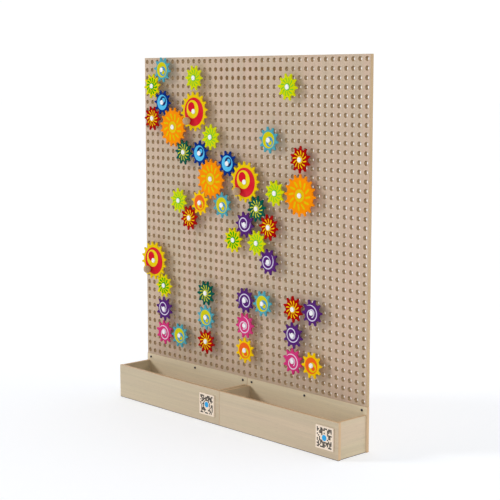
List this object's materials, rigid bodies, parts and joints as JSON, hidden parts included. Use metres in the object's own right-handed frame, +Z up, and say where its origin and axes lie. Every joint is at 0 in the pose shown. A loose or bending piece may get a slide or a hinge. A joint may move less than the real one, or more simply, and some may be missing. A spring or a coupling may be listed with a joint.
{
  "type": "wooden gear wall with storage bins",
  "caption": "Upright drilled plywood board whose pegs carry flat coloured toy gears, some with a ball crank knob; open storage bins along its foot.",
  "frame": {"origin": "on the floor, under the centre of the object's box", "axes": "+Z up, -Y towards the gears and the bins' fronts, +X to the right as seen from the front"},
  "size_m": [1.222, 0.179, 1.3797],
  "materials": {
    "board_plywood": "clear matt lacquer",
    "bin_plywood": "clear matt lacquer",
    "knob_wood": "sanded and oiled",
    "white_plastic": "moulded, satin gloss",
    "plaque_card": "matt printed",
    "black_screw": "black zinc",
    "zinc_screw": "bright zinc",
    "gear_teal": "smooth, satin gloss, printed face",
    "gear_lime": "smooth, satin gloss, printed face",
    "gear_yellow": "smooth, satin gloss, printed face",
    "gear_red": "smooth, satin gloss, printed face",
    "gear_green": "smooth, satin gloss, printed face",
    "gear_blue": "smooth, satin gloss, printed face",
    "gear_amber": "smooth, satin gloss, printed face",
    "gear_purple": "smooth, satin gloss, printed face",
    "gear_pink": "smooth, satin gloss, printed face",
    "gear_orange": "smooth, satin gloss, printed face",
    "gear_crank": "smooth, satin gloss, printed face"
  },
  "bodies": {
    "wall_unit": {"pegboard": "board_plywood", "axle_pegs": "white_plastic", "hub_caps": "white_plastic", "bin_fronts": "bin_plywood", "bin_backs": "bin_plywood", "bin_sides": "bin_plywood", "bin_bottoms": "bin_plywood", "code_plaques": "plaque_card", "bin_screws": "black_screw", "rear_battens": "bin_plywood", "batten_screws": "zinc_screw", "joining_dowels": "bin_plywood"},
    "teal_gear_1": {"teal_gear_1": "gear_teal"},
    "teal_gear_2": {"teal_gear_2": "gear_teal"},
    "teal_gear_3": {"teal_gear_3": "gear_teal"},
    "teal_gear_4": {"teal_gear_4": "gear_teal"},
    "teal_gear_5": {"teal_gear_5": "gear_teal"},
    "teal_gear_6": {"teal_gear_6": "gear_teal"},
    "lime_gear_1": {"lime_gear_1": "gear_lime"},
    "lime_gear_2": {"lime_gear_2": "gear_lime"},
    "lime_gear_3": {"lime_gear_3": "gear_lime"},
    "lime_gear_4": {"lime_gear_4": "gear_lime"},
    "lime_gear_5": {"lime_gear_5": "gear_lime"},
    "lime_gear_6": {"lime_gear_6": "gear_lime"},
    "yellow_gear_1": {"yellow_gear_1": "gear_yellow"},
    "yellow_gear_2": {"yellow_gear_2": "gear_yellow"},
    "yellow_gear_3": {"yellow_gear_3": "gear_yellow"},
    "red_gear_1": {"red_gear_1": "gear_red"},
    "red_gear_2": {"red_gear_2": "gear_red"},
    "red_gear_3": {"red_gear_3": "gear_red"},
    "red_gear_4": {"red_gear_4": "gear_red"},
    "red_gear_5": {"red_gear_5": "gear_red"},
    "red_gear_6": {"red_gear_6": "gear_red"},
    "green_gear_1": {"green_gear_1": "gear_green"},
    "green_gear_2": {"green_gear_2": "gear_green"},
    "green_gear_3": {"green_gear_3": "gear_green"},
    "blue_gear_1": {"blue_gear_1": "gear_blue"},
    "blue_gear_2": {"blue_gear_2": "gear_blue"},
    "blue_gear_3": {"blue_gear_3": "gear_blue"},
    "amber_gear_1": {"amber_gear_1": "gear_amber"},
    "amber_gear_2": {"amber_gear_2": "gear_amber"},
    "amber_gear_3": {"amber_gear_3": "gear_amber"},
    "purple_gear_1": {"purple_gear_1": "gear_purple"},
    "purple_gear_2": {"purple_gear_2": "gear_purple"},
    "purple_gear_3": {"purple_gear_3": "gear_purple"},
    "purple_gear_4": {"purple_gear_4": "gear_purple"},
    "purple_gear_5": {"purple_gear_5": "gear_purple"},
    "purple_gear_6": {"purple_gear_6": "gear_purple"},
    "pink_gear_1": {"pink_gear_1": "gear_pink"},
    "pink_gear_2": {"pink_gear_2": "gear_pink"},
    "pink_gear_3": {"pink_gear_3": "gear_pink"},
    "orange_gear_1": {"orange_gear_1": "gear_orange"},
    "orange_gear_2": {"orange_gear_2": "gear_orange"},
    "orange_gear_3": {"orange_gear_3": "gear_orange"},
    "crank_gear_1": {"crank_gear_1": "gear_crank", "crank_knob_1": "knob_wood"},
    "crank_gear_2": {"crank_gear_2": "gear_crank", "crank_knob_2": "knob_wood"},
    "crank_gear_3": {"crank_gear_3": "gear_crank", "crank_knob_3": "knob_wood"}
  },
  "joints": [
    {"name": "teal_gear_1_spin", "type": "hinge", "parent": "wall_unit", "child": "teal_gear_1", "pos_m": [-0.464, 0.0335, 1.331], "axis": [0, -1, 0], "continuous": true},
    {"name": "teal_gear_2_spin", "type": "hinge", "parent": "wall_unit", "child": "teal_gear_2", "pos_m": [0.144, 0.0335, 1.075], "axis": [0, -1, 0], "continuous": true},
    {"name": "teal_gear_3_spin", "type": "hinge", "parent": "wall_unit", "child": "teal_gear_3", "pos_m": [-0.112, 0.0335, 0.819], "axis": [0, -1, 0], "continuous": true},
    {"name": "teal_gear_4_spin", "type": "hinge", "parent": "wall_unit", "child": "teal_gear_4", "pos_m": [0.112, 0.0335, 0.467], "axis": [0, -1, 0], "continuous": true},
    {"name": "teal_gear_5_spin", "type": "hinge", "parent": "wall_unit", "child": "teal_gear_5", "pos_m": [-0.208, 0.0335, 0.371], "axis": [0, -1, 0], "continuous": true},
    {"name": "teal_gear_6_spin", "type": "hinge", "parent": "wall_unit", "child": "teal_gear_6", "pos_m": [-0.368, 0.0335, 0.275], "axis": [0, -1, 0], "continuous": true},
    {"name": "lime_gear_1_spin", "type": "hinge", "parent": "wall_unit", "child": "lime_gear_1", "pos_m": [-0.272, 0.0335, 1.299], "axis": [0, -1, 0], "continuous": true},
    {"name": "lime_gear_2_spin", "type": "hinge", "parent": "wall_unit", "child": "lime_gear_2", "pos_m": [0.24, 0.0335, 1.267], "axis": [0, -1, 0], "continuous": true},
    {"name": "lime_gear_3_spin", "type": "hinge", "parent": "wall_unit", "child": "lime_gear_3", "pos_m": [-0.176, 0.0335, 1.075], "axis": [0, -1, 0], "continuous": true},
    {"name": "lime_gear_4_spin", "type": "hinge", "parent": "wall_unit", "child": "lime_gear_4", "pos_m": [0.176, 0.0335, 0.883], "axis": [0, -1, 0], "continuous": true},
    {"name": "lime_gear_5_spin", "type": "hinge", "parent": "wall_unit", "child": "lime_gear_5", "pos_m": [-0.368, 0.0335, 0.819], "axis": [0, -1, 0], "continuous": true},
    {"name": "lime_gear_6_spin", "type": "hinge", "parent": "wall_unit", "child": "lime_gear_6", "pos_m": [0.08, 0.0335, 0.691], "axis": [0, -1, 0], "continuous": true},
    {"name": "yellow_gear_1_spin", "type": "hinge", "parent": "wall_unit", "child": "yellow_gear_1", "pos_m": [-0.528, 0.0335, 1.267], "axis": [0, -1, 0], "continuous": true},
    {"name": "yellow_gear_2_spin", "type": "hinge", "parent": "wall_unit", "child": "yellow_gear_2", "pos_m": [-0.048, 0.0335, 0.691], "axis": [0, -1, 0], "continuous": true},
    {"name": "yellow_gear_3_spin", "type": "hinge", "parent": "wall_unit", "child": "yellow_gear_3", "pos_m": [-0.464, 0.0335, 0.467], "axis": [0, -1, 0], "continuous": true},
    {"name": "red_gear_1_spin", "type": "hinge", "parent": "wall_unit", "child": "red_gear_1", "pos_m": [-0.528, 0.0335, 1.139], "axis": [0, -1, 0], "continuous": true},
    {"name": "red_gear_2_spin", "type": "hinge", "parent": "wall_unit", "child": "red_gear_2", "pos_m": [0.304, 0.0335, 1.011], "axis": [0, -1, 0], "continuous": true},
    {"name": "red_gear_3_spin", "type": "hinge", "parent": "wall_unit", "child": "red_gear_3", "pos_m": [-0.304, 0.0335, 0.755], "axis": [0, -1, 0], "continuous": true},
    {"name": "red_gear_4_spin", "type": "hinge", "parent": "wall_unit", "child": "red_gear_4", "pos_m": [0.144, 0.0335, 0.755], "axis": [0, -1, 0], "continuous": true},
    {"name": "red_gear_5_spin", "type": "hinge", "parent": "wall_unit", "child": "red_gear_5", "pos_m": [0.272, 0.0335, 0.467], "axis": [0, -1, 0], "continuous": true},
    {"name": "red_gear_6_spin", "type": "hinge", "parent": "wall_unit", "child": "red_gear_6", "pos_m": [-0.208, 0.0335, 0.275], "axis": [0, -1, 0], "continuous": true},
    {"name": "green_gear_1_spin", "type": "hinge", "parent": "wall_unit", "child": "green_gear_1", "pos_m": [-0.336, 0.0335, 1.011], "axis": [0, -1, 0], "continuous": true},
    {"name": "green_gear_2_spin", "type": "hinge", "parent": "wall_unit", "child": "green_gear_2", "pos_m": [0.08, 0.0335, 0.819], "axis": [0, -1, 0], "continuous": true},
    {"name": "green_gear_3_spin", "type": "hinge", "parent": "wall_unit", "child": "green_gear_3", "pos_m": [-0.208, 0.0335, 0.467], "axis": [0, -1, 0], "continuous": true},
    {"name": "blue_gear_1_spin", "type": "hinge", "parent": "wall_unit", "child": "blue_gear_1", "pos_m": [-0.464, 0.0335, 1.203], "axis": [0, -1, 0], "continuous": true},
    {"name": "blue_gear_2_spin", "type": "hinge", "parent": "wall_unit", "child": "blue_gear_2", "pos_m": [-0.24, 0.0335, 1.011], "axis": [0, -1, 0], "continuous": true},
    {"name": "blue_gear_3_spin", "type": "hinge", "parent": "wall_unit", "child": "blue_gear_3", "pos_m": [-0.08, 0.0335, 0.979], "axis": [0, -1, 0], "continuous": true},
    {"name": "amber_gear_1_spin", "type": "hinge", "parent": "wall_unit", "child": "amber_gear_1", "pos_m": [-0.24, 0.0335, 0.819], "axis": [0, -1, 0], "continuous": true},
    {"name": "amber_gear_2_spin", "type": "hinge", "parent": "wall_unit", "child": "amber_gear_2", "pos_m": [0.016, 0.0335, 0.275], "axis": [0, -1, 0], "continuous": true},
    {"name": "amber_gear_3_spin", "type": "hinge", "parent": "wall_unit", "child": "amber_gear_3", "pos_m": [0.368, 0.0335, 0.275], "axis": [0, -1, 0], "continuous": true},
    {"name": "purple_gear_1_spin", "type": "hinge", "parent": "wall_unit", "child": "purple_gear_1", "pos_m": [0.016, 0.0335, 0.755], "axis": [0, -1, 0], "continuous": true},
    {"name": "purple_gear_2_spin", "type": "hinge", "parent": "wall_unit", "child": "purple_gear_2", "pos_m": [0.144, 0.0335, 0.627], "axis": [0, -1, 0], "continuous": true},
    {"name": "purple_gear_3_spin", "type": "hinge", "parent": "wall_unit", "child": "purple_gear_3", "pos_m": [0.016, 0.0335, 0.467], "axis": [0, -1, 0], "continuous": true},
    {"name": "purple_gear_4_spin", "type": "hinge", "parent": "wall_unit", "child": "purple_gear_4", "pos_m": [0.368, 0.0335, 0.467], "axis": [0, -1, 0], "continuous": true},
    {"name": "purple_gear_5_spin", "type": "hinge", "parent": "wall_unit", "child": "purple_gear_5", "pos_m": [-0.464, 0.0335, 0.371], "axis": [0, -1, 0], "continuous": true},
    {"name": "purple_gear_6_spin", "type": "hinge", "parent": "wall_unit", "child": "purple_gear_6", "pos_m": [0.272, 0.0335, 0.371], "axis": [0, -1, 0], "continuous": true},
    {"name": "pink_gear_1_spin", "type": "hinge", "parent": "wall_unit", "child": "pink_gear_1", "pos_m": [0.016, 0.0335, 0.371], "axis": [0, -1, 0], "continuous": true},
    {"name": "pink_gear_2_spin", "type": "hinge", "parent": "wall_unit", "child": "pink_gear_2", "pos_m": [-0.464, 0.0335, 0.275], "axis": [0, -1, 0], "continuous": true},
    {"name": "pink_gear_3_spin", "type": "hinge", "parent": "wall_unit", "child": "pink_gear_3", "pos_m": [0.272, 0.0335, 0.275], "axis": [0, -1, 0], "continuous": true},
    {"name": "orange_gear_1_spin", "type": "hinge", "parent": "wall_unit", "child": "orange_gear_1", "pos_m": [-0.4, 0.0335, 1.107], "axis": [0, -1, 0], "continuous": true},
    {"name": "orange_gear_2_spin", "type": "hinge", "parent": "wall_unit", "child": "orange_gear_2", "pos_m": [-0.176, 0.0335, 0.915], "axis": [0, -1, 0], "continuous": true},
    {"name": "orange_gear_3_spin", "type": "hinge", "parent": "wall_unit", "child": "orange_gear_3", "pos_m": [0.304, 0.0335, 0.883], "axis": [0, -1, 0], "continuous": true},
    {"name": "crank_gear_1_spin", "type": "hinge", "parent": "wall_unit", "child": "crank_gear_1", "pos_m": [-0.272, 0.0335, 1.171], "axis": [0, -1, 0], "continuous": true},
    {"name": "crank_gear_2_spin", "type": "hinge", "parent": "wall_unit", "child": "crank_gear_2", "pos_m": [0.016, 0.0335, 0.915], "axis": [0, -1, 0], "continuous": true},
    {"name": "crank_gear_3_spin", "type": "hinge", "parent": "wall_unit", "child": "crank_gear_3", "pos_m": [-0.528, 0.0335, 0.563], "axis": [0, -1, 0], "continuous": true}
  ],
  "couplings": [
    {"joint": "blue_gear_3_spin", "follows": "crank_gear_2_spin", "ratio": -1.6},
    {"joint": "orange_gear_2_spin", "follows": "crank_gear_2_spin", "ratio": 1},
    {"joint": "blue_gear_2_spin", "follows": "crank_gear_2_spin", "ratio": -1.6},
    {"joint": "lime_gear_3_spin", "follows": "crank_gear_2_spin", "ratio": 1.6},
    {"joint": "green_gear_1_spin", "follows": "crank_gear_2_spin", "ratio": 1.6},
    {"joint": "orange_gear_1_spin", "follows": "crank_gear_2_spin", "ratio": -1},
    {"joint": "crank_gear_1_spin", "follows": "crank_gear_2_spin", "ratio": 1},
    {"joint": "blue_gear_1_spin", "follows": "crank_gear_2_spin", "ratio": 1.6},
    {"joint": "yellow_gear_1_spin", "follows": "crank_gear_2_spin", "ratio": -1.6},
    {"joint": "teal_gear_1_spin", "follows": "crank_gear_2_spin", "ratio": 1.6},
    {"joint": "red_gear_1_spin", "follows": "crank_gear_2_spin", "ratio": -1.6},
    {"joint": "amber_gear_1_spin", "follows": "crank_gear_2_spin", "ratio": -1.6},
    {"joint": "red_gear_3_spin", "follows": "crank_gear_2_spin", "ratio": 1.6},
    {"joint": "lime_gear_5_spin", "follows": "crank_gear_2_spin", "ratio": -1.6},
    {"joint": "teal_gear_3_spin", "follows": "crank_gear_2_spin", "ratio": -1.6},
    {"joint": "green_gear_2_spin", "follows": "crank_gear_2_spin", "ratio": -1.6},
    {"joint": "purple_gear_1_spin", "follows": "crank_gear_2_spin", "ratio": 1.6},
    {"joint": "red_gear_4_spin", "follows": "crank_gear_2_spin", "ratio": 1.6},
    {"joint": "lime_gear_6_spin", "follows": "crank_gear_2_spin", "ratio": -1.6},
    {"joint": "yellow_gear_2_spin", "follows": "crank_gear_2_spin", "ratio": -1.6},
    {"joint": "purple_gear_2_spin", "follows": "crank_gear_2_spin", "ratio": 1.6},
    {"joint": "yellow_gear_3_spin", "follows": "crank_gear_3_spin", "ratio": -1.6},
    {"joint": "purple_gear_5_spin", "follows": "crank_gear_3_spin", "ratio": 1.6},
    {"joint": "pink_gear_2_spin", "follows": "crank_gear_3_spin", "ratio": -1.6},
    {"joint": "teal_gear_6_spin", "follows": "crank_gear_3_spin", "ratio": 1.6},
    {"joint": "teal_gear_5_spin", "follows": "green_gear_3_spin", "ratio": -1},
    {"joint": "red_gear_6_spin", "follows": "green_gear_3_spin", "ratio": 1},
    {"joint": "purple_gear_3_spin", "follows": "teal_gear_4_spin", "ratio": -1},
    {"joint": "pink_gear_1_spin", "follows": "teal_gear_4_spin", "ratio": 1},
    {"joint": "amber_gear_2_spin", "follows": "teal_gear_4_spin", "ratio": -1},
    {"joint": "red_gear_5_spin", "follows": "purple_gear_4_spin", "ratio": -1},
    {"joint": "purple_gear_6_spin", "follows": "purple_gear_4_spin", "ratio": 1},
    {"joint": "pink_gear_3_spin", "follows": "purple_gear_4_spin", "ratio": -1},
    {"joint": "amber_gear_3_spin", "follows": "purple_gear_4_spin", "ratio": 1}
  ]
}
